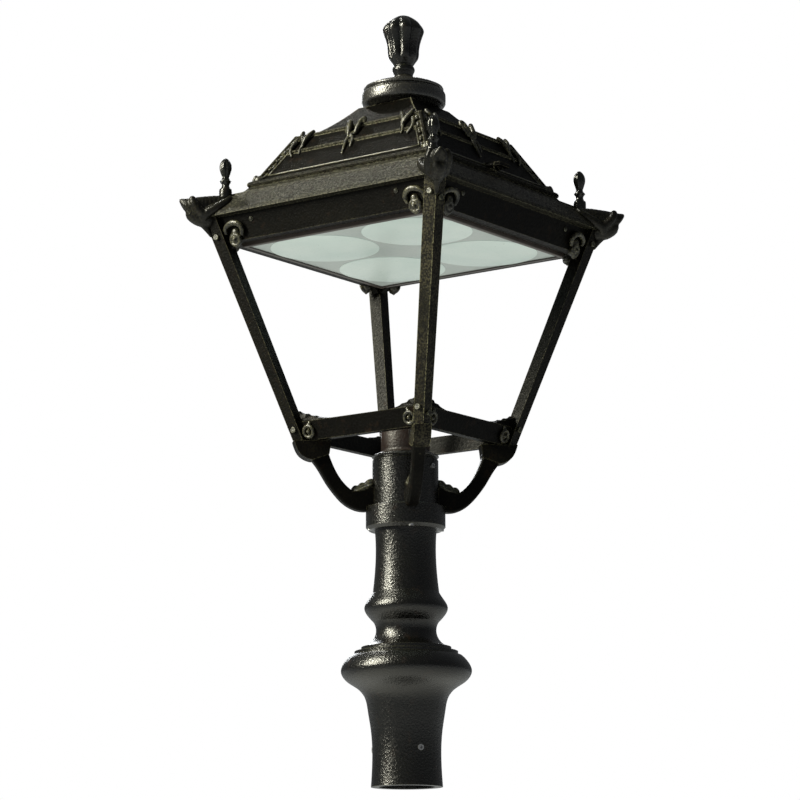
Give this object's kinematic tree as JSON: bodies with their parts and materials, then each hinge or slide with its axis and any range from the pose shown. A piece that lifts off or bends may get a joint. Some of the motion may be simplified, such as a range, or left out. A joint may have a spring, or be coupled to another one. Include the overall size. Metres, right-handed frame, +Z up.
{
  "type": "post-top street lantern",
  "caption": "Square open-sided post-top street lantern with a hinged roof, a flat light panel and curved cradle arms, on the top section of its turned column.",
  "frame": {"origin": "on the column's axis at the mouth of the socket in its lower end", "axes": "+Z up along the column, -Y towards the front face, +X towards the side with the roof latch"},
  "size_m": [0.553, 0.553, 1.293],
  "materials": {
    "cast_lantern": "sand-cast aluminium, textured near-black paint",
    "cast_column": "cast iron, satin near-black paint over a sandy surface",
    "galvanised_steel": "dull galvanised",
    "fastener_steel": "plain stainless",
    "painted_steel": "painted over with the castings",
    "black_nylon": "moulded",
    "gasket_rubber": "matt foam rubber",
    "diffuser": "frosted, pale blue-green",
    "lens": "frosted, lighter than the panel",
    "tray_white": "satin white inside",
    "gear_steel": "zinc plated sheet",
    "board_white": "white solder mask",
    "chip_yellow": "phosphor gel",
    "driver_case": "moulded",
    "surge_case": "potted moulding",
    "terminal_plastic": "moulded",
    "panel_frame_paint": "dark satin"
  },
  "bodies": {
    "lantern": {"arm_back_left": "cast_lantern", "arm_back_right": "cast_lantern", "arm_front_left": "cast_lantern", "arm_front_right": "cast_lantern", "arm_leaves": "cast_lantern", "cable_gland": "black_nylon", "collar_ring": "cast_column", "collar_screws": "fastener_steel", "column_set_screws": "fastener_steel", "column_top": "cast_column", "corner_finials": "cast_lantern", "corner_leaves": "cast_lantern", "corner_post_back_left": "cast_lantern", "corner_post_back_right": "cast_lantern", "corner_post_front_left": "cast_lantern", "corner_post_front_right": "cast_lantern", "cornice": "cast_lantern", "cornice_screws": "fastener_steel", "diffuser_panel": "diffuser", "foot_bolts": "fastener_steel", "gear_tray": "gear_steel", "hinge_brackets": "cast_lantern", "hinge_pins": "fastener_steel", "hub_cap": "cast_column", "hub_set_screws": "fastener_steel", "hub_socket": "cast_column", "latch_keeper": "fastener_steel", "led_boards": "board_white", "led_chips": "chip_yellow", "led_driver": "driver_case", "lens_dome_back_left": "lens", "lens_dome_back_right": "lens", "lens_dome_front_left": "lens", "lens_dome_front_right": "lens", "lower_frame": "cast_lantern", "lower_rosettes": "cast_lantern", "optic_tray": "tray_white", "panel_frame": "panel_frame_paint", "post_screws": "painted_steel", "rail_screws": "painted_steel", "roof_gasket": "gasket_rubber", "scroll_bosses": "cast_lantern", "spigot_tube": "galvanised_steel", "surge_protector": "surge_case", "terminal_block": "terminal_plastic", "tray_screws": "fastener_steel", "tray_standoffs": "fastener_steel", "upper_frame": "cast_lantern"},
    "roof": {"roof_shell": "cast_lantern", "roof_leaves": "cast_lantern", "roof_cap": "cast_lantern", "crown_finial": "cast_lantern", "finial_stud": "fastener_steel", "finial_nut": "fastener_steel", "hinge_straps": "cast_lantern"},
    "latch": {"latch_handle": "cast_lantern", "latch_cam": "fastener_steel"}
  },
  "joints": [
    {"name": "roof_hinge", "type": "hinge", "parent": "lantern", "child": "roof", "pos_m": [-0.194, 0, 0.994], "axis": [0, -1, 0], "range_deg": [0, 100]},
    {"name": "latch_turn", "type": "hinge", "parent": "roof", "child": "latch", "pos_m": [0.17, 0, 1], "axis": [1, 0, 0], "range_deg": [0, 90]}
  ]
}
